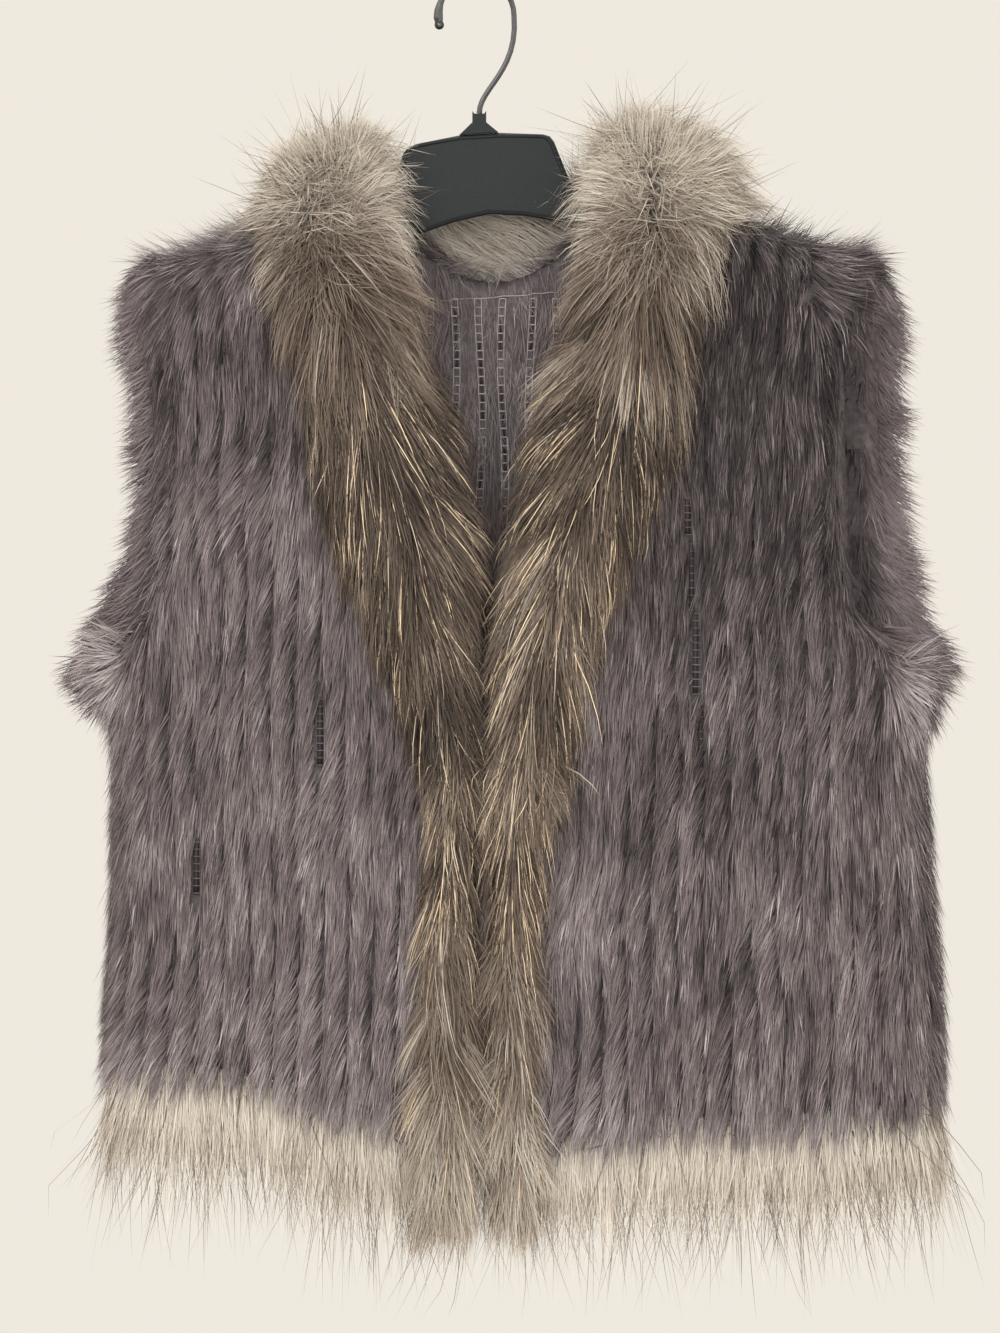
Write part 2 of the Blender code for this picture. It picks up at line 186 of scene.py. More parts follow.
def lay(normals, lean, lift):
    """Headings along the cloth: straight down, turned sideways by lean and off the cloth by lift.

    A lean above 0 turns towards +X on the front and on the back.
    """
    down = unit(DOWN - normals * np.sum(normals * DOWN, axis=-1, keepdims=True))
    side = np.cross(normals, down)
    turn = (lean * np.where(normals[:, 1] > 0.0, -1.0, 1.0))[:, None]
    lift = lift[:, None]
    return (down * np.cos(turn) + side * np.sin(turn)) * np.cos(lift) + normals * np.sin(lift)


def comb(points, normals, heading, length, root, sink, droop, steps):
    """Paths of hairs: out of the skin under each point, along a heading, back to the cloth and down."""
    share = np.linspace(0.0, 1.0, steps)[None, :, None]
    path = points[:, None] + heading[:, None] * (length[:, None, None] * share)
    path -= normals[:, None] * (root[:, None, None] * (1.0 - share) ** 2.0)
    path -= normals[:, None] * (sink[:, None, None] * share ** 2)
    return path + DOWN * (droop[:, None, None] * share ** 2)


def clump(paths, tones, anchors, pull, stretch, rng, tone_pull=0.5):
    """Draws hairs together towards the tips of chosen ones, as locks with points."""
    chosen = rng.choice(len(paths), size=anchors, replace=False)
    scale = np.array((1.0, 1.0, 1.0 / stretch))
    tree = KDTree(anchors)
    for number, strand in enumerate(chosen):
        tree.insert(paths[strand, 0] * scale, number)
    tree.balance()
    near = np.array([chosen[tree.find(root)[1]] for root in paths[:, 0] * scale])
    share = np.linspace(0.0, 1.0, paths.shape[1])[None, :, None] ** 1.4
    share = share * (pull * rng.uniform(0.5, 1.2, len(paths)))[:, None, None]
    drawn = paths * (1.0 - share) + paths[near] * share
    return drawn, tones * (1.0 - tone_pull) + tones[near] * tone_pull


def curl(paths, amount, rng):
    """Bends hairs a little, each its own way, more towards the tip."""
    share = np.linspace(0.0, 1.0, paths.shape[1])[None, :, None] ** 1.5
    length = np.linalg.norm(paths[:, -1] - paths[:, 0], axis=-1)[:, None, None]
    return paths + rng.normal(0.0, amount, (len(paths), 1, 3)) * share * length


def link_object(name, data):
    made = bpy.data.objects.new(name, data)
    bpy.context.scene.collection.objects.link(made)
    return made


def link_mesh(name, mesh, finish):
    """Smooth object of a mesh in one finish."""
    mesh.shade_smooth()
    mesh.materials.append(finish)
    return link_object(name, mesh)


def mesh_from(name, verts, faces, uv, finish):
    """Mesh object from arrays, with the same UV map for the finish and for baking."""
    mesh = bpy.data.meshes.new(name)
    mesh.from_pydata(verts, [], faces)
    corner_uv = uv[faces.ravel()].astype(np.float32).ravel()
    for layer in ("strand", "OFBake"):
        mesh.uv_layers.new(name=layer).uv.foreach_set("vector", corner_uv)
    return link_mesh(name, mesh, finish)


def ribbons(name, groups, finish, rng):
    """One mesh of tapering ribbons. A group is paths, normals, widths and tones of hairs."""
    all_verts, all_faces, all_uv = [], [], []
    start = 0
    for paths, normals, widths, tones in groups:
        paths = np.clip(paths, HAIR_LOW, HAIR_HIGH)
        count, steps = paths.shape[:2]
        along = unit(np.gradient(paths, axis=1))
        roll = rng.normal(0.0, 0.6, count)[:, None, None]
        side = unit(np.cross(along, normals[:, None]))
        lifted = np.cross(side, along)
        side = side * np.cos(roll) + lifted * np.sin(roll)
        taper = 1.0 - 0.75 * np.linspace(0.0, 1.0, steps)[None, :, None] ** 2
        half = side * (widths[:, None, None] * 0.5 * taper)
        pairs = np.stack((paths - half, paths + half), axis=2)[:, :-1].reshape(count, -1, 3)
        verts = np.concatenate((pairs, paths[:, -1:]), axis=1)
        each = verts.shape[1]
        ladder = []
        for step in range(steps - 2):
            a, b, c, d = 2 * step, 2 * step + 1, 2 * step + 3, 2 * step + 2
            ladder.extend(((a, b, c), (a, c, d)))
        ladder.append((each - 3, each - 2, each - 1))
        faces = np.array(ladder)[None] + (start + np.arange(count) * each)[:, None, None]
        tone = np.clip(tones, 0.01, 0.99)[:, None]
        edge = np.tile((-0.003, 0.003), steps - 1).tolist() + [0.0]
        up = np.repeat(np.linspace(0.0, 1.0, steps)[:-1], 2).tolist() + [1.0]
        uv = np.stack((tone + np.array(edge)[None], np.tile(up, (count, 1))), axis=-1)
        all_verts.append(verts.reshape(-1, 3))
        all_faces.append(faces.reshape(-1, 3))
        all_uv.append(uv.reshape(-1, 2))
        start += count * each
    verts, faces, uv = (np.concatenate(parts) for parts in (all_verts, all_faces, all_uv))
    return mesh_from(name, verts, faces, uv, finish)


def tubes(name, paths, radius, finish, rng, sides=3, tones=(0.2, 0.8)):
    """One mesh of threads along paths of equally many points."""
    count, steps = paths.shape[:2]
    along = unit(np.gradient(paths, axis=1))
    first = unit(np.cross(along, np.broadcast_to((0.3, 1.0, 0.2), along.shape)))
    second = np.cross(along, first)
    turn = np.arange(sides) * 2.0 * math.pi / sides
    ring = first[:, :, None] * np.cos(turn)[:, None] + second[:, :, None] * np.sin(turn)[:, None]
    verts = (paths[:, :, None] + ring * radius).reshape(-1, 3)
    skin = []
    for step in range(steps - 1):
        for side in range(sides):
            a, b = step * sides + side, step * sides + (side + 1) % sides
            skin.extend(((a, b, b + sides), (a, b + sides, a + sides)))
    last = (steps - 1) * sides
    for side in range(1, sides - 1):
        skin.extend(((0, side + 1, side), (last, last + side, last + side + 1)))
    faces = (np.array(skin)[None] + (np.arange(count) * steps * sides)[:, None, None]).reshape(-1, 3)
    tone = np.repeat(rng.uniform(*tones, count), steps * sides)
    up = np.tile(np.repeat(np.linspace(0.0, 1.0, steps), sides), count)
    uv = np.stack((tone + np.tile(np.linspace(-0.003, 0.003, sides), count * steps), up), axis=-1)
    return mesh_from(name, verts, faces, uv, finish)


# Finishes

def ramp_node(tree, stops):
    node = tree.nodes.new("ShaderNodeValToRGB")
    elements = node.color_ramp.elements
    while len(elements) < len(stops):
        elements.new(0.5)
    for element, (place, colour) in zip(elements, stops):
        element.position = place
        element.color = (*colour, 1.0)
    return node


def new_finish(name, roughness, sheen=0.0, metallic=0.0, specular=0.5):
    made = bpy.data.materials.new(name)
    made.use_nodes = True
    shader = made.node_tree.nodes["Principled BSDF"]
    shader.inputs["Roughness"].default_value = roughness
    shader.inputs["Metallic"].default_value = metallic
    shader.inputs["Specular IOR Level"].default_value = specular
    shader.inputs["Sheen Weight"].default_value = sheen
    shader.inputs["Sheen Roughness"].default_value = 0.4
    return made, made.node_tree, shader


def multiply(tree, first, second):
    mix = tree.nodes.new("ShaderNodeMix")
    mix.data_type = "RGBA"
    mix.blend_type = "MULTIPLY"
    mix.inputs["Factor"].default_value = 1.0
    tree.links.new(first, mix.inputs["A"])
    tree.links.new(second, mix.inputs["B"])
    return mix.outputs["Result"]


def hair_finish(name, tones, along, roughness, sheen):
    """Hair: its tone is read across the map, and root to tip up it, the roots darker and the tips lighter:
    partly the hair's own colour, partly painted shade and light.
    """
    made, tree, shader = new_finish(name, roughness, sheen=sheen, specular=0.25)
    where = tree.nodes.new("ShaderNodeUVMap")
    where.uv_map = "strand"
    split = tree.nodes.new("ShaderNodeSeparateXYZ")
    tree.links.new(where.outputs["UV"], split.inputs["Vector"])
    tone = ramp_node(tree, tones)
    tree.links.new(split.outputs["X"], tone.inputs["Fac"])
    length = ramp_node(tree, [(place, (value, value, value)) for place, value in along])
    tree.links.new(split.outputs["Y"], length.inputs["Fac"])
    colour = multiply(tree, tone.outputs["Color"], length.outputs["Color"])
    tree.links.new(colour, shader.inputs["Base Color"])
    return made


def noise_bump(tree, shader, scale, strength, distance):
    place = tree.nodes.new("ShaderNodeTexCoord")
    grain = tree.nodes.new("ShaderNodeTexNoise")
    grain.inputs["Scale"].default_value = scale
    tree.links.new(place.outputs["Object"], grain.inputs["Vector"])
    bump = tree.nodes.new("ShaderNodeBump")
    bump.inputs["Strength"].default_value = strength
    bump.inputs["Distance"].default_value = distance
    tree.links.new(grain.outputs["Fac"], bump.inputs["Height"])
    tree.links.new(bump.outputs["Normal"], shader.inputs["Normal"])
    return grain


def grained_finish(name, dark, light, scale, roughness, metallic=0.0, bump=0.2, specular=0.5):
    """Moulded or drawn surface: two close colours over a fine grain."""
    made, tree, shader = new_finish(name, roughness, metallic=metallic, specular=specular)
    grain = noise_bump(tree, shader, scale, bump, 0.0004)
    colour = ramp_node(tree, [(0.35, dark), (0.65, light)])
    tree.links.new(grain.outputs["Fac"], colour.inputs["Fac"])
    tree.links.new(colour.outputs["Color"], shader.inputs["Base Color"])
    return made


RABBIT = hair_finish(
    "rabbit_pile",
    [(0.0, (0.034, 0.027, 0.028)), (0.4, (0.160, 0.130, 0.132)),
     (0.7, (0.262, 0.220, 0.222)), (1.0, (0.480, 0.425, 0.425))],
    [(0.0, 0.40), (0.35, 0.78), (0.75, 1.0), (1.0, 1.12)], 0.62, 0.15)
COLLAR = hair_finish(
    "collar_hair",
    [(0.0, (0.040, 0.030, 0.023)), (0.3, (0.131, 0.094, 0.070)), (0.55, (0.262, 0.208, 0.165)),
     (0.82, (0.540, 0.485, 0.415)), (0.92, (0.720, 0.570, 0.390)), (1.0, (0.920, 0.715, 0.470))],
    [(0.0, 0.42), (0.3, 0.75), (0.7, 1.0), (1.0, 1.15)], 0.5, 0.1)
HEM = hair_finish(
    "hem_hair",
    [(0.0, (0.115, 0.092, 0.074)), (0.12, (0.250, 0.205, 0.165)), (0.28, (0.470, 0.410, 0.345)),
     (0.6, (0.700, 0.640, 0.560)), (1.0, (0.880, 0.835, 0.760))],
    [(0.0, 0.45), (0.25, 0.80), (0.6, 1.0), (1.0, 1.0)], 0.5, 0.1)
THREAD = hair_finish(
    "net_thread",
    [(0.0, (0.330, 0.288, 0.290)), (1.0, (0.560, 0.515, 0.515))],
    [(0.0, 0.9), (1.0, 1.0)], 0.7, 0.1)
KNIT = grained_finish("knit_ground", (0.072, 0.059, 0.062), (0.118, 0.098, 0.102), 240.0, 0.9, bump=0.6)
SKIN = grained_finish("collar_ground", (0.070, 0.055, 0.043), (0.120, 0.096, 0.075), 200.0, 0.9, bump=0.5)
PLASTIC = grained_finish(
    "satin_plastic", (0.014, 0.016, 0.0175), (0.017, 0.019, 0.0205), 900.0, 0.5, bump=0.08, specular=0.14)
STEEL = grained_finish(
    "hook_wire", (0.075, 0.076, 0.076), (0.085, 0.086, 0.086), 300.0, 0.36, metallic=1.0, bump=0.0)


# Grounds that the hair grows from

def ground(name, node, sink, finish, back_off=0.0):
    """Thin wall in a node's solid: its outer face drawn in under the pile, its free edges drawn back."""
    corners, facing = triangles(node)
    first, same = weld(corners)
    points = corners.reshape(-1, 3)[first]
    cross = crosses(corners)

    def gather(chosen):
        total = np.zeros_like(points)
        np.add.at(total, same[np.repeat(chosen, 3)], np.repeat(cross[chosen], 3, axis=0))
        return unit(total) * (np.linalg.norm(total, axis=-1, keepdims=True) > 0.0)

    edge = (np.abs(facing) <= 0.25) & (np.abs(unit(cross)[:, 1]) < 0.7)
    points = points - gather(facing > 0.25) * sink - gather(edge) * back_off
    mesh = bpy.data.meshes.new(name)
    mesh.from_pydata(points, [], same.reshape(-1, 3))
    return link_mesh(name, mesh, finish)


# Knitted panels

# Cut width and length, flat area, hairs of pile and of fuzz inside, how much farther the pile stands
# out round the edges, and how far the ground's free edges are drawn back
Panel = namedtuple("Panel", "cut area pile inside ruff edge_cut")
PANELS = {
    "front_left": Panel((0.27, 0.62), 0.125, 84000, 4500, 0.08, 0.014),
    "front_right": Panel((0.32, 0.63), 0.15, 97000, 4500, -0.25, 0.014),
    "back": Panel((0.58, 0.62), 0.30, 72000, 30000, 0.30, 0.010),
}
PANEL_SINK = 0.0095
PILE_SEED = 100

# Where the pile fans out from a point: the point, the side it fans to, and how strongly or how pale
SHOULDER_ENDS = ((pixel(180, 285), -1.0, 0.45), (pixel(812, 295), 1.0, 0.9))
SHOULDER_REACH = 0.045
ARMPITS = ((pixel(130, 666), -1.0, 0.86), (pixel(886, 670), 1.0, 0.54))
ARMPIT_REACH = 0.041

# Two kinds of hair in the pile, and the hairs that lie together in a lock
FINE_SHARE = 0.73
FINE_LENGTH = 0.018
SOFT_LENGTH = 0.024
PILE_TONE = 0.45
PILE_LOCK = 7

# Where the pile has parted down to the net: pixel across, pixels from top to bottom, half width
LADDERS = ((687, 498, 535, 0.0029), (691, 540, 610, 0.0014),
           (695, 612, 694, 0.0029), (700, 700, 768, 0.0012),
           (320, 698, 765, 0.0029), (196, 838, 893, 0.0029), (575, 668, 700, 0.0026))


def in_ladder(points):
    """Points in front that lie in one of the parted places."""
    found = np.zeros(len(points), dtype=bool)
    for px, py_top, py_bottom, half in LADDERS:
        x, top = pixel(px, py_top)
        bottom = pixel(px, py_bottom)[1]
        reach = half * smooth(0.0, 0.010, np.minimum(top - points[:, 2], points[:, 2] - bottom + 0.012))
        found |= np.abs(points[:, 0] - x) < reach
    return found & (points[:, 1] < 0.0)


def hem_line(corners):
    """Lowest height of a patch at each place across, as a function."""
    share = np.linspace(0.0, 1.0, 20)[:, None, None, None]
    points = (corners * (1.0 - share) + np.roll(corners, 1, axis=1) * share).reshape(-1, 3)
    edges = np.linspace(points[:, 0].min(), points[:, 0].max(), 31)
    middles = (edges[1:] + edges[:-1]) / 2
    place = np.clip(np.digitize(points[:, 0], edges) - 1, 0, 29)
    lowest = [points[place == number, 2].min(initial=0.0) for number in range(30)]
    return lambda x: np.interp(x, middles, lowest)


def rows(points, rng):
    """Place across the knitted rows, -1 to 1, and how far the crease beside each row is parted."""
    x, z = points[:, 0], points[:, 2]
    place = (x + 0.0025 * waves(x * 0.25, z, 0.16, rng)) / ROW_PITCH
    number = np.floor(place)
    phase = (place - number - 0.5) * 2.0
    edge = np.where(phase > 0.0, number + 1.0, number)
    strength = np.sin(z * 95.0 + edge * 12.9) + np.sin(z * 41.0 + edge * 7.1)
    strength += 0.7 * np.sin(z * 190.0 + edge * 3.7)
    return phase, smooth(-0.3, 0.7, strength)


def radial(points, centre, reach):
    """Angle away from a centre on the cloth, from straight down towards +X, and nearness to it."""
    x, z = points[:, 0] - centre[0], points[:, 2] - centre[1]
    return np.arctan2(x, -z), np.exp(-((x / reach) ** 2 + (z / reach) ** 2))


def shoulder_tops(points):
    """More pile on top of the shoulders."""
    return 1.0 + 1.2 * smooth(-0.20, -0.16, points[:, 2])


def panel_pile(name, node, count, seed, ruff):
    """Pile of a panel: soft hair, and finer and straighter hair over it."""
    rng = np.random.default_rng(seed)
    patch = outer_patch(node, -0.3)
    points, normals = scatter(patch, count, rng, shoulder_tops)
    phase, parted = rows(points, rng)
    keep = (np.abs(phase) < 0.92) | (parted < rng.random(count))
    above = points[:, 2] - hem_line(patch)(points[:, 0])
    lowest = 0.013 + 0.006 * waves(points[:, 0], above * 0.0, 0.06, rng)
    keep &= above > lowest + rng.uniform(-0.010, 0.006, count)
    points, normals, above = points[keep], normals[keep], above[keep]
    phase, parted = phase[keep], parted[keep]
    count = len(points)
    fine = rng.random(count) < FINE_SHARE
    x, z = points[:, 0], points[:, 2]
    ending = smooth(0.040, 0.010, above)
    sweep = 0.14 + 0.46 * smooth(-0.9, 1.2, waves(x, z * 0.5, 0.09, rng))
    lean = -sweep * (phase + 1.0) * 0.5 + 0.12 * waves(x, z, 0.11, rng) + rng.normal(0.0, 0.08, count)
    lift = rng.normal(0.05, 0.04, count) + 0.06 * ending
    length = np.where(fine, FINE_LENGTH, SOFT_LENGTH) * rng.normal(1.0, 0.13, count)
    length *= 1.0 + ending * rng.uniform(-0.35, 0.35, count)
    depth = np.abs(rng.normal(0.0, 0.0016, count)) + np.where(fine, 0.0004, 0.0018)
    depth += 0.003 * parted * np.abs(phase) ** 4
    tones = PILE_TONE + 0.07 * waves(x, z, 0.16, rng) + 0.09 * waves(x, z * 0.5, 0.04, rng)
    # Painted light and shade: the pile is painted lighter towards the hem and darker towards the top
    tones = tones + 0.13 * smooth(-0.40, -0.68, z) - 0.09 * smooth(-0.36, -0.26, z)
    # Painted shade: the pile is painted darker towards +X, most towards the top by the right lapel
    darker = smooth(0.03, 0.14, x) * (0.09 + 0.21 * smooth(-0.52, -0.28, z))
    tones -= darker
    for centre, outward, strength in SHOULDER_ENDS:
        away, near = radial(points, centre, SHOULDER_REACH)
        near = strength * near * smooth(-0.012, 0.020, outward * (x - centre[0]))
        lean = lean * (1.0 - near) + (np.clip(away, -2.3, 2.3) + 0.25 * waves(x, z, 0.03, rng)) * near
        lift += 0.28 * near
        length += 0.004 * near
        tones += 0.14 * strength * near
    for centre, outward, lighter in ARMPITS:
        away, near = radial(points, centre, ARMPIT_REACH)
        near *= smooth(-0.004, 0.014, outward * (x - centre[0]))
        fan = outward * np.clip(outward * away, 0.25, 2.1) + rng.normal(0.0, 0.25, count)
        lean = lean * (1.0 - near) + fan * near
        lift += 0.18 * near
        tones += lighter * near
    rim = np.clip(smooth(0.55, 0.95, np.abs(normals[:, 0])) + smooth(0.5, 0.9, normals[:, 2]), 0.0, 1.0)
    crest = smooth(0.40, 0.85, normals[:, 2]) * rng.random(count)
    lift = lift + rim * (ruff * smooth(-0.48, -0.42, z) + np.abs(rng.normal(0.0, 0.13, count))) + 0.6 * crest
    length += 0.010 * crest
    # Painted light: the pile on faces turned upwards is painted lighter
    tones += 0.34 * smooth(0.40, 0.85, normals[:, 2])
    # Tone varies at random, more where the shade is painted
    tones += rng.normal(0.0, 0.23, count) * (1.0 + 1.3 * darker)
    # Painted shade in the creases between the knitted rows
    tones -= 0.28 * parted * np.abs(phase) ** 3
    tones = tones + ending * rng.uniform(0.0, 0.30, count) + 0.10 * rim
    points = points - normals * depth[:, None]
    paths = comb(points, normals, lay(normals, lean, lift), length, np.where(fine, 0.0040, 0.0070),
                 np.full(count, 0.0008), np.full(count, 0.001), 3)
    paths, tones = clump(paths, tones, count // PILE_LOCK, 0.26, 3.0, rng, tone_pull=0.6)
    paths = curl(paths, 0.03, rng)
    widths = np.where(fine, rng.uniform(0.00045, 0.00085, count), rng.uniform(0.0007, 0.0014, count))
    widths = widths * (1.0 - 0.35 * rim) * (1.0 - 0.35 * ending)
    clear = ~(in_ladder(paths[:, 0]) | in_ladder(paths[:, 1]) | in_ladder(paths[:, 2]))
    soft, fine = clear & ~fine, clear & fine
    groups = [(paths[soft], normals[soft], widths[soft], tones[soft]),
              (paths[fine][:, ::2], normals[fine], widths[fine], tones[fine])]
    return ribbons(name, groups, RABBIT, rng)


# Inside of the panels, and the net that the fur is knitted through

INSIDE_SEED = 200
INSIDE_LOCK = 9
SEAM_CLEAR = 0.003

# Columns of the net from the first one across, between two heights
NET_LOW = -0.19
NET_COLUMNS = 27
NET_BOTTOM = -0.69
NET_TOP = -0.20
NET_SEED = 300

# A column's width, the distance of its rungs, its thread, and points in one upright thread
NET_GAP = 0.0042
NET_RUNG = 0.0055
NET_THREAD = 0.00048
NET_RUN = 4

# Radius and tones of the dark tubes of painted shade in the hollows between the threads, and the ends of the
# seam along the neck
HOLE_SHADE_RADIUS = 0.0022
PAINTED_SHADE_TONES = (0.0, 0.01)
SEAM_PIXELS = ((440, 297), (558, 289))
SEAM_POINTS = 16


def armhole_edge(points):
    """1 inside the armholes, 0 elsewhere."""
    across_body = points[:, 0] - BODY_MIDDLE
    start = np.where(across_body > 0.0, 0.214, 0.212)
    return smooth(start, start + 0.012, np.abs(across_body)) * smooth(-0.48, -0.44, points[:, 2])


def neck_window(points):
    """1 where the open neck shows the inside of the back, 0 elsewhere."""
    return smooth(0.11, 0.08, np.abs(points[:, 0] - NECK_MIDDLE)) * smooth(-0.51, -0.46, points[:, 2])


def in_view(points):
    """More hair where the open neck and the armholes show the inside."""
    return 1.0 + 9.0 * neck_window(points) + 50.0 * armhole_edge(points)


def net_sway(number, z):
    """Place across of a column of the net at each height."""
    middle = NET_LOW + number * ROW_PITCH
    return middle + 0.0010 * np.sin(number * 2.3) + 0.0015 * np.sin(z * 40.0 + middle * 90.0)


def net_parted(number, z):
    """Where the fuzz beside a column of the net is parted."""
    return np.sin(z * 70.0 + number * 2.1) + np.sin(z * 160.0 + number * 5.3) > -0.2


def net_shows(points, rng):
    """Points in the open neck where the fuzz has parted over a column of the net."""
    x, z = points[:, 0], points[:, 2]
    number = np.round((x - NET_LOW) / ROW_PITCH)
    beside = np.abs(x - net_sway(number, z)) < NET_GAP * 0.6
    shown = neck_window(points) > rng.random(len(points))
    return beside & net_parted(number, z) & (points[:, 1] > 0.0) & shown


def panel_inside(name, node, count, seed):
    """Short fuzz inside a panel, and the pile that shows round its armhole edges."""
    rng = np.random.default_rng(seed)
    corners, facing = triangles(node)
    points, normals = scatter(corners[facing < 0.3], count, rng, in_view)
    keep = ~net_shows(points, rng) & (np.abs(points[:, 1]) > SEAM_CLEAR)
    points, normals, count = points[keep], normals[keep], int(keep.sum())
    x, z = points[:, 0], points[:, 2]
    outward = np.sign(x - BODY_MIDDLE)
    edge = armhole_edge(points)
    covered = smooth(-0.4, 0.6, waves(x, z, 0.06, rng)) * neck_window(points)
    lean = rng.normal(0.0, 0.30, count) + 0.25 * waves(x, z, 0.05, rng) + outward * 0.85 * edge
    lift = np.abs(rng.normal(0.16, 0.06, count)) + 0.10 * edge + 0.10 * covered
    length = rng.normal(0.010, 0.002, count) + 0.015 * edge + 0.008 * covered
    paths = comb(points, normals, lay(normals, lean, lift), length, np.full(count, 0.0002),
                 np.zeros(count), np.full(count, 0.001), 2)
    # Painted shade: the fuzz is dark everywhere but in the open neck and at the armhole edges, for the shade
    # in the armhole gaps
    tones = 0.12 + 0.49 * neck_window(points) + 0.37 * edge ** 2
    tones = tones + 0.07 * waves(x, z, 0.1, rng) + rng.normal(0.0, 0.13, count)
    paths, tones = clump(paths, tones, count // INSIDE_LOCK, 0.3, 2.0, rng)
    widths = rng.uniform(0.0006, 0.0012, count) * (1.0 + 0.2 * edge)
    return ribbons(name, [(curl(paths, 0.06, rng), normals, widths, tones)], RABBIT, rng)


def inside_points(node, x, z, depth=-0.0008):
    """Points at a depth under a panel's inner face, straight behind or before the middle plane."""
    tree = solid_tree(node)
    towards = 1.0 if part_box(node)[1][1] > 0.02 else -1.0
    found = []
    for one_x, one_z in zip(x, z):
        hit = tree.ray_cast((one_x, 0.0, one_z), (0.0, towards, 0.0))[0]
        found.append((np.nan,) * 3 if hit is None else (hit[0], hit[1] + towards * depth, hit[2]))
    return np.array(found)


def whole(paths):
    """Paths with a point everywhere."""
    return np.array([path for path in paths if np.all(np.isfinite(path))])


def net(name, node):
    """Rails and rungs of the net behind each knitted row, dark tubes of painted shade in its gaps, and the
    neck's seam.
    """
    rng = np.random.default_rng(NET_SEED)
    levels = np.arange(NET_BOTTOM, NET_TOP, NET_RUNG)
    levels = levels[1 - len(levels) % 2:]
    uprights, rungs, hole_shades = [], [], []
    for number in range(NET_COLUMNS):
        sway = net_sway(number, levels)
        deep = inside_points(node, sway, levels, HOLE_SHADE_RADIUS - 0.0005)
        for first in range(0, len(levels) - 2, 2):
            middle = deep[first + 1]
            if net_parted(number, middle[2]) and neck_window(middle[None])[0] > 0.5:
                hole_shades.append(deep[first:first + 3])
        rails = [inside_points(node, sway + side * NET_GAP / 2, levels) for side in (-1.0, 1.0)]
        for rail in rails:
            coarse = rail[::2]
            for first in range(0, len(coarse) - 1, NET_RUN):
                start = min(first, len(coarse) - NET_RUN - 1)
                uprights.append(coarse[start:start + NET_RUN + 1])
        rungs.extend(np.stack(rails, axis=1))
    seam_x, seam_z = np.linspace(*[pixel(*place) for place in SEAM_PIXELS], SEAM_POINTS).T
    seam = inside_points(node, seam_x, seam_z + rng.normal(0.0, 0.0006, SEAM_POINTS))
    made = []
    for part, paths in (("_uprights", uprights), ("_rungs", rungs), ("_seam", [seam])):
        made.append(tubes(name + part, whole(paths), NET_THREAD, THREAD, rng))
    # Painted shade: dark tubes where the gaps of the net show the shaded inside
    made.append(tubes(name + "_holes", whole(hole_shades), HOLE_SHADE_RADIUS, RABBIT, rng, sides=6, tones=PAINTED_SHADE_TONES))
    return made


# Threads across the parted places of the fronts

IN_FRONT = -0.3
# Points, depth and radius of the dark tubes of painted shade behind the threads
SLOT_POINTS = 8
SLOT_SHADE_DEPTH = 0.0088
SLOT_SHADE_RADIUS = 0.0019
RUNG_STEP = 0.0046
RUNG_LIFT = 0.0023
RUNG_RADIUS = 0.0004
LADDER_SEED = 600


def ladder_rungs(name, node):
    """Threads of the net across the parted places of a front panel, and a dark tube of painted shade in the
    hollow behind them.
    """
    tree = solid_tree(node)
    rungs, slot_shades = [], []
    for px, py_top, py_bottom, half in LADDERS:
        x, top = pixel(px, py_top)
        slot = []
        for z in np.linspace(pixel(px, py_bottom)[1], top, SLOT_POINTS):
            hit = tree.ray_cast((x, IN_FRONT, z), (0.0, 1.0, 0.0))[0]
            if hit is not None and hit[1] < 0.0:
                slot.append((x, hit[1] + SLOT_SHADE_DEPTH, z))
        if len(slot) == SLOT_POINTS:
            slot_shades.append(slot)
            for z in np.arange(slot[0][2], slot[-1][2], RUNG_STEP):
                y = np.interp(z, [place[2] for place in slot], [place[1] for place in slot]) - RUNG_LIFT
                rungs.append([(x + side * half * 1.1, y, z) for side in (-1.0, 0.0, 1.0)])
    rng = np.random.default_rng(LADDER_SEED)
    return [tubes(name + "_rungs", np.array(rungs), RUNG_RADIUS, RABBIT, rng, tones=(0.25, 0.45)),
            tubes(name + "_slots", np.array(slot_shades), SLOT_SHADE_RADIUS, RABBIT, rng, sides=6, tones=PAINTED_SHADE_TONES)]


# Long-haired collar, lapels and trims

# Lightness of the long hair from the hem up to the collar's top: height, change of tone
LONG_TONES = (
    (-0.83, 0.34), (-0.72, 0.33), (-0.69, 0.25), (-0.655, -0.01), (-0.60, -0.04), (-0.56, -0.09),
    (-0.53, -0.20), (-0.505, -0.15), (-0.49, -0.02), (-0.42, -0.12), (-0.30, -0.20), (-0.22, -0.10),
    (-0.15, 0.30), (-0.10, 0.48))

# Each lapel: the middle of its whorl, and its own changes of tone by height
Lapel = namedtuple("Lapel", "whorl tones")
LAPELS = {
    "lapel_left": Lapel(pixel(305, 235), (
        (-0.426, -0.25), (-0.405, -0.20), (-0.388, -0.07), (-0.366, -0.12), (-0.286, -0.14),
        (-0.246, -0.08), (-0.206, 0.0), (-0.181, -0.36), (-0.153, 0.01), (-0.135, 0.11), (-0.115, 0.28))),
    "lapel_right": Lapel(pixel(654, 226), (
        (-0.426, -0.06), (-0.391, 0.17), (-0.31, -0.08), (-0.26, -0.17), (-0.236, 0.03), (-0.220, 0.17),
        (-0.200, -0.34), (-0.183, -0.22), (-0.158, -0.08), (-0.134, 0.17), (-0.120, 0.40), (-0.108, 0.52))),
}
LAPEL_COUNT = 17000
LAPEL_LENGTH = 0.034
LAPEL_SEED = 400
WHORL_PULL = 0.55
WHORL_REACH = 0.048
FLUFF_COUNT = 8000

TRIMS = ("front_trim_left", "front_trim_right")
TRIM_COUNT = 9600
TRIM_LENGTH = 0.038
TRIM_SEED = 402

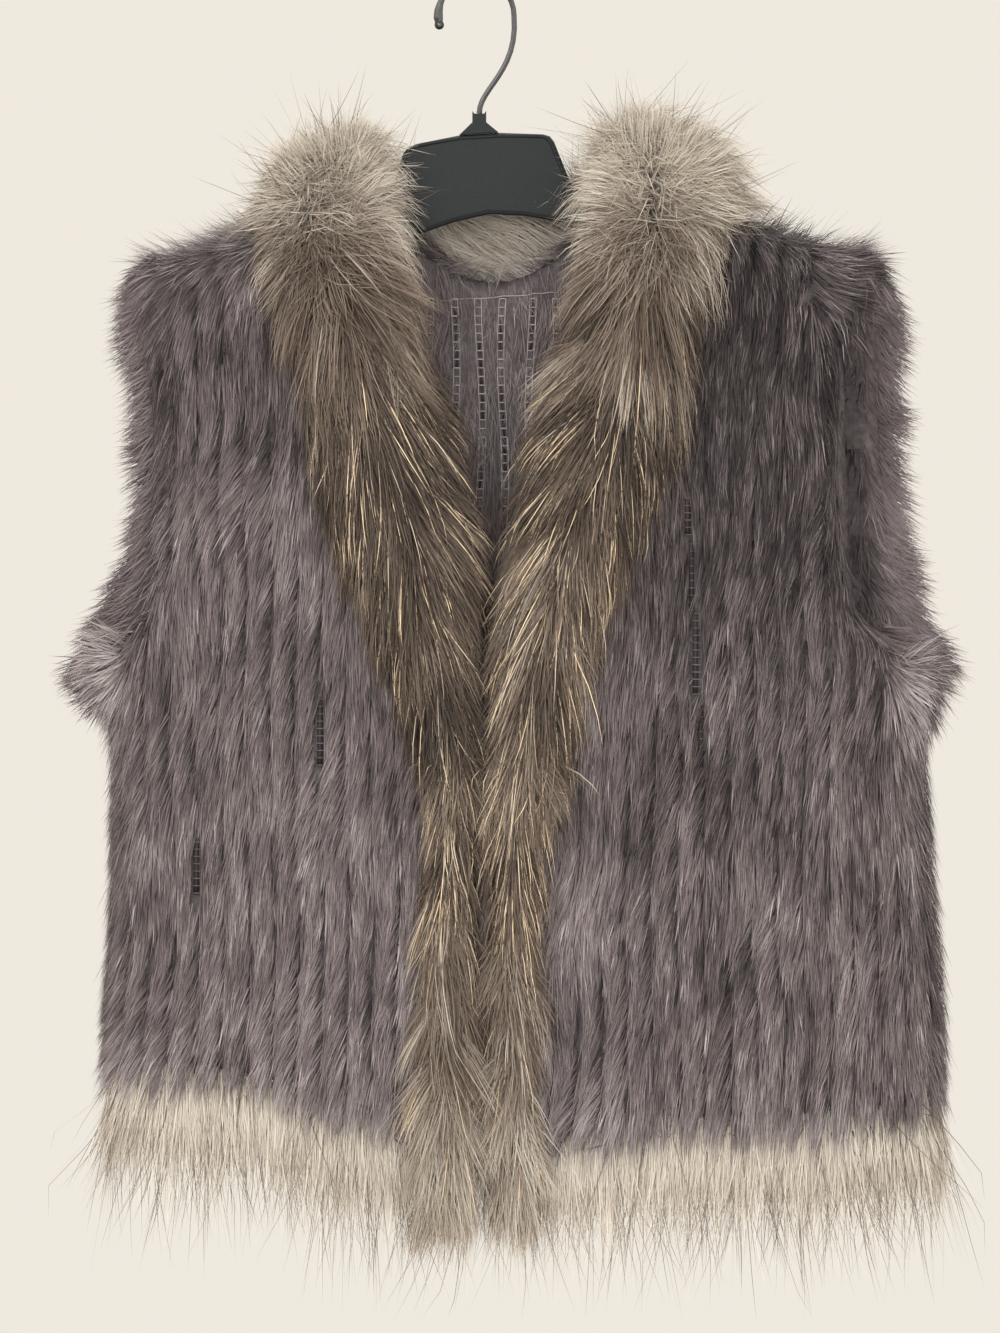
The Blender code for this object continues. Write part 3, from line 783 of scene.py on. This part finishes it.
# Hair outside the back of the collar, and on its bare inside above the neck
COLLAR_COUNT = 10000
COLLAR_LENGTH = 0.036
COLLAR_SEED = 404
BARE_COUNT = 3600
BARE_LENGTH = 0.028
BARE_HALF = 0.10

# Share of guard hairs, hairs that lie together in a lock, depth of the roots, and reach of single hairs
GUARD_SHARE = 0.42
WOOL_LOCK = 10
GUARD_LOCK = 13
LONG_ROOT = 0.012
WISP_REACH = 0.040

# Grounds: depth under the outer face, and how far the free edges are drawn back
GROUNDS = {
    "lapel_left": (0.020, 0.0),
    "lapel_right": (0.020, 0.0),
    "front_trim_left": (0.012, 0.014),
    "front_trim_right": (0.012, 0.014),
    "collar_back": (0.018, 0.0),
}


def across(points, inner_is_right):
    """Where points lie across a strip, 0 at its inner edge and 1 at its outer one."""
    z = points[:, 2]
    levels = np.linspace(z.min(), z.max(), 24)
    middle = (levels[1:] + levels[:-1]) / 2
    low, high = [], []
    for bottom, top in zip(levels[:-1], levels[1:]):
        inside = points[(z >= bottom) & (z <= top), 0]
        low.append(np.percentile(inside, 2) if len(inside) > 4 else low[-1])
        high.append(np.percentile(inside, 98) if len(inside) > 4 else high[-1])
    low, high = np.interp(z, middle, low), np.interp(z, middle, high)
    share = np.clip((points[:, 0] - low) / np.maximum(high - low, 1e-4), 0.0, 1.0)
    return 1.0 - share if inner_is_right else share


def locks(count, shade, dark, rng):
    """Tones of guard hairs: mostly middle, some dark; the dark ones are partly the fur's own colour, partly
    painted shade between the locks.
    """
    tones = rng.normal(0.56, 0.12, count)
    tones = np.where(rng.random(count) < dark, rng.uniform(0.0, 0.22, count), tones)
    return np.minimum(tones + shade, 0.82)


def wisps(points, normals, count, reach, rng):
    """Single long hairs that stand off the fur."""
    pick = rng.choice(len(points), size=count)
    heading = unit(normals[pick] * (1.0, 0.4, 1.0) + rng.normal(0.0, 0.35, (count, 3)) * (1.0, 0.5, 1.0))
    length = rng.uniform(0.3, 1.0, count) * reach
    start = points[pick] - normals[pick] * 0.010
    none = np.zeros(count)
    paths = comb(start, normals[pick], heading, length + 0.010, none, none, none, 5)
    paths = curl(paths, 0.16, rng)
    widths = rng.uniform(0.00035, 0.0005, count)
    return paths, normals[pick], widths, rng.uniform(0.2, 0.6, count)


def long_hair(points, normals, lean, standing, wool_length, rng, lighter=0.0, sag=0.0):
    """Soft wool under long guard hairs that lie in locks.

    Both follow the same lean, stand up at a crest, and hang down towards their tips by the sag.
    """
    count = len(points)
    x, z = points[:, 0], points[:, 2]
    shade = np.interp(z, *zip(*LONG_TONES)) + 0.07 * waves(x, z, 0.06, rng) + lighter
    woolly = smooth(-0.21, -0.15, z)
    sag = np.broadcast_to(sag, count)
    tilt = np.stack((waves(x, z, 0.035, rng), 0.5 * waves(x, z, 0.035, rng), np.zeros(count)), axis=-1)
    upright = unit(normals * 0.4 + (0.0, 0.0, 1.0) + 0.45 * tilt + rng.normal(0.0, 0.20, (count, 3)))
    upright *= (0.85 * standing)[:, None]
    lift = 0.04 + 0.30 * standing + rng.normal(0.0, 0.08, count)
    depth = 0.003 + 0.012 * standing + np.abs(rng.normal(0.0, 0.004, count))
    loose = rng.normal(0.0, 1.0, count) * (0.18 + 0.30 * standing)
    heading = unit(lay(normals, lean + loose, lift) * (1.0 - 0.85 * standing)[:, None] + upright)
    lying = 1.0 - standing
    wool = comb(points - normals * depth[:, None], normals, heading,
                wool_length * rng.normal(1.0, 0.15, count), np.full(count, LONG_ROOT),
                0.006 * lying, (0.004 + sag) * lying, 3)
    # The wool is darker than the guard hairs over it: partly its own colour, partly painted shade between
    # the locks
    wool_tones = np.minimum(0.39 + 0.05 * woolly + shade + rng.normal(0.0, 0.10, count), 0.82)
    wool, wool_tones = clump(wool, wool_tones, count // WOOL_LOCK, 0.36 + 0.25 * standing, 1.4, rng)
    guards = int(count * GUARD_SHARE)
    chance = 1.0 - 0.65 * woolly
    pick = rng.choice(count, size=guards, replace=False, p=chance / chance.sum())
    loose = rng.normal(0.0, 1.0, guards) * (0.08 + 0.25 * standing[pick])
    heading = lay(normals[pick], lean[pick] + loose, lift[pick])
    heading = unit(heading * (1.0 - 0.85 * standing[pick])[:, None] + upright[pick])
    under = depth[pick] * (0.4 + 0.6 * standing[pick])
    length = wool_length[pick] * rng.normal(1.35, 0.22, guards) * (1.0 - 0.2 * standing[pick])
    long = comb(points[pick] - normals[pick] * under[:, None], normals[pick], heading, length,
                np.full(guards, LONG_ROOT), 0.008 * lying[pick], (0.008 + sag[pick]) * lying[pick], 5)
    gold = 0.19 * smooth(-0.20, -0.26, z[pick]) * (1.0 - 0.7 * smooth(-0.54, -0.62, z[pick]))
    gold += 0.14 * smooth(-0.43, -0.47, z[pick]) * smooth(-0.60, -0.55, z[pick])
    gold *= np.clip(1.0 + 2.0 * np.broadcast_to(lighter, count)[pick], 0.45, 1.2)
    long_tones = locks(guards, shade[pick], 0.25 - 0.20 * woolly[pick], rng)
    long, long_tones = clump(long, long_tones, guards // GUARD_LOCK, 0.80, 1.6, rng, 0.8)
    gold *= (0.3 + 1.4 * smooth(-0.2, 1.2, waves(x, z, 0.025, rng)))[pick]
    long_tones = np.where(rng.random(guards) < gold, rng.uniform(0.86, 1.0, guards), long_tones)
    wool_widths = rng.uniform(0.0005, 0.0010, count) * (1.0 - 0.25 * woolly)
    return [(curl(wool, 0.12, rng), normals, wool_widths, wool_tones),
            (curl(long, 0.05, rng), normals[pick], rng.uniform(0.0004, 0.0008, guards), long_tones)]


def fluff(points, normals, lean, shade, rng):
    """Short fine wool lying every way over a woolly place."""
    count = len(points)
    lift = np.abs(rng.normal(0.16, 0.12, count))
    heading = lay(normals, lean + rng.normal(0.0, 0.7, count), lift)
    none = np.zeros(count)
    paths = comb(points - normals * rng.uniform(0.001, 0.006, count)[:, None], normals, heading,
                 rng.uniform(0.012, 0.024, count), none + 0.003, none + 0.001, none, 2)
    tones = np.clip(0.58 + shade + rng.normal(0.0, 0.13, count), 0.20, 0.84)
    return curl(paths, 0.1, rng), normals, rng.uniform(0.0005, 0.0010, count), tones


def lapel_hair(name, node, inner_is_right, lapel, seed):
    """Long hair of a lapel: parted along a ridge, swirled at the whorl, standing up on the collar."""
    rng = np.random.default_rng(seed)
    points, normals = scatter(outer_patch(node, -0.1), LAPEL_COUNT, rng)
    normals = unit(np.maximum(normals, (-2.0, -2.0, -0.1)))
    share = across(points, inner_is_right)
    x, z = points[:, 0], points[:, 2]
    inward = 1.0 if inner_is_right else -1.0
    steep = 0.40 + 0.40 * smooth(-0.44, -0.25, z)
    ridge = 0.58 + 0.06 * np.sin(z * 60.0)
    lean = np.where(share < ridge, steep, -0.16) * inward * smooth(0.0, 0.18, np.abs(share - ridge))
    lean += (0.20 + 0.35 * smooth(-0.26, -0.18, z)) * waves(x, z, 0.06, rng)
    away, near = radial(points, lapel.whorl, WHORL_REACH)
    near = WHORL_PULL * near
    lean = lean * (1.0 - near) + (np.clip(away, -2.4, 2.4) + 0.5 * waves(x, z, 0.035, rng)) * near
    standing = smooth(0.25, 0.80, normals[:, 2])
    length = LAPEL_LENGTH + 0.014 * smooth(-0.36, -0.46, z) - 0.008 * standing
    length += 0.008 * smooth(-0.14, -0.20, z) * smooth(-0.34, -0.26, z)
    shift = np.interp(z, *zip(*lapel.tones))
    groups = long_hair(points, normals, lean, standing, length, rng, shift)
    chance = smooth(-0.21, -0.15, z) * (0.4 + near / WHORL_PULL)
    pick = rng.choice(LAPEL_COUNT, size=FLUFF_COUNT, p=chance / chance.sum())
    drift = rng.normal(0.0, 0.002, (FLUFF_COUNT, 3))
    groups.append(fluff(points[pick] + drift, normals[pick], lean[pick], shift[pick], rng))
    top = z > -0.17
    groups.append(wisps(points[top], normals[top], 160, WISP_REACH, rng))
    return ribbons(name, groups, COLLAR, rng)


def trim_hair(name, node, inner_is_right, seed):
    """Long hair of a front trim: parted to both sides, and tousled lower down."""
    rng = np.random.default_rng(seed)
    points, normals = scatter(outer_patch(node, -0.1), TRIM_COUNT, rng)
    normals = unit(normals * (1.0, 1.0, 0.15))
    share = across(points, inner_is_right)
    x, z = points[:, 0], points[:, 2]
    inward = 1.0 if inner_is_right else -1.0
    tousled = smooth(-0.55, -0.63, z) * (1.0 if inner_is_right else 0.45)
    lean = np.where(share < 0.45, 0.38, -0.26) * inward * smooth(0.0, 0.25, np.abs(share - 0.45))
    lean = np.clip(lean + (0.20 + 0.55 * tousled) * waves(x, z, 0.05, rng), -0.7, 0.7)
    length = TRIM_LENGTH - 0.014 * smooth(-0.69, -0.75, z)
    groups = long_hair(points, normals, lean, np.zeros(TRIM_COUNT), length, rng, sag=0.014 * tousled)
    return ribbons(name, groups, COLLAR, rng)


def clear_of(node, points, heading, reach):
    """Points from which a node isn't met along a heading within a reach."""
    tree = solid_tree(node)
    return np.array([tree.ray_cast(point, heading, reach)[0] is None for point in points])


def collar_back_hair(name, node):
    """Hair round the outside of the collar, and lying sideways on its inside above the back's neck."""
    rng = np.random.default_rng(COLLAR_SEED)
    corners, facing = triangles(node)
    points, normals = scatter(corners[facing > -0.1], COLLAR_COUNT, rng)
    x, z = points[:, 0], points[:, 2]
    front = smooth(0.0, -0.5, normals[:, 1])
    lean = 0.25 * waves(x, z, 0.08, rng) * (1.0 - front) + (1.2 + 0.4 * waves(x, z, 0.05, rng)) * front
    standing = smooth(0.25, 0.80, normals[:, 2]) * (1.0 - 0.6 * front)
    points = points + normals * (0.010 * front)[:, None]
    # Painted light: the hair facing the front, inside the collar, is painted lighter where it lies in shade
    groups = long_hair(points, normals, lean, standing, COLLAR_LENGTH - 0.006 * standing, rng, 0.25 * front)
    top = normals[:, 2] > 0.3
    groups.append(wisps(points[top], normals[top], 200, WISP_REACH, rng))
    points, normals = scatter(corners[facing < -0.1], BARE_COUNT * 5, rng)
    bare = clear_of("back", points, (0.0, -1.0, 0.0), 0.03)
    bare &= np.abs(points[:, 0] - NECK_MIDDLE) < BARE_HALF
    points, normals = points[bare][:BARE_COUNT], normals[bare][:BARE_COUNT]
    x, z = points[:, 0], points[:, 2]
    lean = 1.25 + 0.4 * waves(x, z, 0.05, rng)
    flat, length = np.full(len(points), 0.12), np.full(len(points), BARE_LENGTH)
    # Painted light: the hair on the collar's bare inside is painted lighter where it lies in shade
    groups.extend(long_hair(points + normals * 0.012, normals, lean, flat, length, rng, 0.30))
    upper = points[z > np.percentile(z, 60)]
    groups.append(wisps(upper, np.tile((0.0, -0.6, 0.8), (len(upper), 1)), 90, WISP_REACH, rng))
    return ribbons(name, groups, COLLAR, rng)


# Hem

HEM_COUNTS = {"hem_trim_front_left": 8600, "hem_trim_front_right": 10400, "hem_trim_back": 10500}
HEM_SEED = 500

# Shortest soft hair and how much longer it gets, and the share and lengths of single hairs
HEM_LENGTH = 0.029
HEM_SPREAD = 0.015
SINGLE_SHARE = 0.04
SINGLE_LENGTHS = (0.066, 0.110)

# Triangles lower than this are the strip's, higher ones its locks'
STRIP_HEIGHT = 0.011


def hem_hair(name, node, count, seed):
    """Long pale hair from under the hem that thins downwards, and single darker hairs that cross."""
    rng = np.random.default_rng(seed)
    corners, facing = triangles(node)
    flat = np.ptp(corners[:, :, 2], axis=1) < STRIP_HEIGHT
    points, normals = scatter(corners[flat & (np.abs(facing) > 0.3)], count, rng)
    normals = unit(normals * (1.0, 1.0, 0.0))
    x = points[:, 0]
    outside = points[:, 1] * normals[:, 1] > 0.0
    inward = np.where(outside, rng.uniform(0.006, 0.011, count), rng.uniform(0.0, 0.003, count))
    points = points - normals * inward[:, None]
    points[:, 2] += rng.uniform(0.0, 0.016, count)
    low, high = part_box(node)
    ends = smooth(0.05, 0.0, x - low[0]) * -0.55 + smooth(0.05, 0.0, high[0] - x) * 0.55
    outer = 0.0 if "back" in node else 1.0
    ends *= np.where(np.abs(x - BODY_MIDDLE) > 0.15, 1.0, 1.0 - outer)
    single = rng.random(count) < SINGLE_SHARE
    lean = rng.normal(0.0, 1.0, count) * np.where(single, 0.20, 0.07)
    lean = lean + 0.06 * waves(x, points[:, 2], 0.05, rng) + ends * rng.random(count)
    tuft = 1.0 + 0.12 * waves(x, points[:, 2] * 0.0, 0.025, rng)
    longest = rng.uniform(*SINGLE_LENGTHS, count)
    length = np.where(single, longest, HEM_LENGTH + rng.exponential(HEM_SPREAD, count)) * tuft
    length = np.minimum(length, points[:, 2] - HAIR_LOW[2] - 0.004 * rng.random(count))
    lift = rng.normal(0.0, 0.03, count)
    none = np.zeros(count)
    groups = []
    for chosen, steps, each, pull, bend in ((~single, 3, 10, 0.30, 0.07), (single, 5, 4, 0.45, 0.13)):
        number = int(chosen.sum())
        paths = comb(points[chosen], normals[chosen], lay(normals[chosen], lean[chosen], lift[chosen]),
                     length[chosen], none[chosen], none[chosen] + 0.002, none[chosen], steps)
        dark = steps == 5
        tones = rng.normal(0.08, 0.07, number) if dark else rng.normal(0.53, 0.08, number)
        widths = rng.uniform(0.00045, 0.00062, number) if dark else rng.uniform(0.0004, 0.0007, number)
        paths, tones = clump(paths, tones, number // each, pull, 1.0, rng, tone_pull=0.2)
        groups.append((curl(paths, bend, rng), normals[chosen], widths, tones))
    return ribbons(name, groups, HEM, rng)


def settle(piece, replaced=None):
    """Puts a piece on the body, in place of a node or beside the nodes."""
    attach(piece, "root")
    if replaced:
        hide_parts(replaced)
    return piece


# Hanger

PLATE_MIDDLE = pixel(488, 172)
RIM_ANGLES = np.radians(np.linspace(-12.0, 192.0, 80))
RIM_RADIUS = 0.0011
RIM_IN = 0.0022
RIM_SEED = 700

# The hook's tip lies to the left of a place across and near its lowest point there
TIP_SIDE = -0.018
TIP_REACH = 0.003
TIP_RADIUS = 0.0031


def hanger_looks():
    """Satin plate with a raised rim on both faces, and a hook with a rounded tip."""
    for node, finish in (("hanger_body", PLASTIC), ("hanger_socket", PLASTIC), ("hanger_hook", STEEL)):
        mesh = nodes[node].data
        mesh.materials.clear()
        mesh.materials.append(finish)
    tree = solid_tree("hanger_body")
    low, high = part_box("hanger_body")
    outline = []
    for angle in RIM_ANGLES:
        heading = np.array((math.cos(angle), 0.0, math.sin(angle)))
        hit = tree.ray_cast((PLATE_MIDDLE[0], 0.0, PLATE_MIDDLE[1]), heading)[0]
        outline.append(np.array(hit) - heading * RIM_IN)
    outline = np.array(outline)
    faces = np.stack([outline * (1.0, 0.0, 1.0) + (0.0, face, 0.0) for face in (low[1], high[1])])
    rim = tubes("hanger_rim", faces, RIM_RADIUS, PLASTIC, np.random.default_rng(RIM_SEED), sides=8)
    settle(rim)
    wire = np.array([v.co for v in nodes["hanger_hook"].data.vertices])
    end = wire[wire[:, 0] < TIP_SIDE]
    tip = end[end[:, 2] < end[:, 2].min() + TIP_REACH].mean(axis=0)
    bpy.ops.mesh.primitive_uv_sphere_add(segments=24, ring_count=12, radius=TIP_RADIUS, location=tip)
    ball = bpy.context.object
    ball.name = "hook_tip"
    ball.data.shade_smooth()
    ball.data.materials.append(STEEL)
    settle(ball)


# Stage

FLOOR_SIZE = 7.0
FLOOR_HEIGHT = -1.30
FLOOR_COLOUR = (0.62, 0.585, 0.53, 1.0)
ROOM_COLOUR = (0.863, 0.815, 0.735, 1.0)
LIT_POINT = Vector((0.03, 0.0, -0.42))

# Lamps: name, place, size, power
LAMPS = (
    ("key", (-0.7, -1.6, 0.5), 1.2, 22.0),
    ("fill", (1.0, -1.5, 0.1), 1.4, 9.0),
    ("front", (0.1, -2.6, -0.35), 1.6, 24.0),
    ("back", (0.2, 1.6, 0.6), 1.4, 14.0),
)


def stage():
    """Pale floor and room, soft lamps, and the camera at the photograph's view."""
    bpy.ops.mesh.primitive_plane_add(size=FLOOR_SIZE, location=(0.0, 0.0, FLOOR_HEIGHT))
    floor = bpy.context.object
    floor.name = "floor"
    made, _, shader = new_finish("pale_floor", 0.8)
    shader.inputs["Base Color"].default_value = FLOOR_COLOUR
    floor.data.materials.append(made)
    world = bpy.data.worlds.new("pale_room")
    world.use_nodes = True
    background = world.node_tree.nodes["Background"]
    background.inputs["Color"].default_value = ROOM_COLOUR
    background.inputs["Strength"].default_value = 1.0
    bpy.context.scene.world = world
    for name, place, size, power in LAMPS:
        lamp = bpy.data.lights.new(name, "AREA")
        lamp.size = size
        lamp.energy = power
        lit = link_object(name, lamp)
        lit.location = place
        lit.rotation_euler = (LIT_POINT - Vector(place)).to_track_quat("-Z", "Y").to_euler()
    lens = bpy.data.cameras.new("camera")
    lens.sensor_width = SENSOR
    lens.lens = SENSOR * CAMERA_DISTANCE / (IMAGE[1] * METRES_A_PIXEL)
    camera = link_object("camera", lens)
    x, z = pixel(IMAGE[0] / 2, IMAGE[1] / 2)
    camera.location = (x, CAMERA_PLANE - CAMERA_DISTANCE, z)
    camera.rotation_euler = (math.pi / 2, 0.0, 0.0)
    bpy.context.scene.camera = camera
    bpy.context.scene.view_settings.view_transform = "Standard"


def dress_panels():
    """Knitted panels: ground, pile, inside and net."""
    for number, (node, panel) in enumerate(PANELS.items()):
        shell = ground(node + "_knit", node, PANEL_SINK, KNIT, panel.edge_cut)
        settle(shell, node)
        fur = [panel_pile(node + "_pile", node, panel.pile, PILE_SEED + number, panel.ruff),
               panel_inside(node + "_inside", node, panel.inside, INSIDE_SEED + number)]
        fur.extend(net("back_net", node) if node == "back" else ladder_rungs(node + "_ladders", node))
        for piece in fur:
            settle(piece)


def dress_long_hair():
    """Collar, lapels and front trims: grounds, and long hair over them."""
    for node, (sink, edge_cut) in GROUNDS.items():
        settle(ground(node + "_ground", node, sink, SKIN, edge_cut), node)
    for number, (node, lapel) in enumerate(LAPELS.items()):
        hair = lapel_hair(node + "_hair", node, node == "lapel_left", lapel, LAPEL_SEED + number)
        settle(hair)
    for number, node in enumerate(TRIMS):
        hair = trim_hair(node + "_hair", node, node == "front_trim_left", TRIM_SEED + number)
        settle(hair)
    settle(collar_back_hair("collar_back_hair", "collar_back"))


def dress_hem():
    for number, (node, count) in enumerate(HEM_COUNTS.items()):
        name = node.replace("_trim", "") + "_hair"
        settle(hem_hair(name, node, count, HEM_SEED + number), node)


def main():
    stage()
    hanger_looks()
    dress_panels()
    dress_long_hair()
    dress_hem()


main()
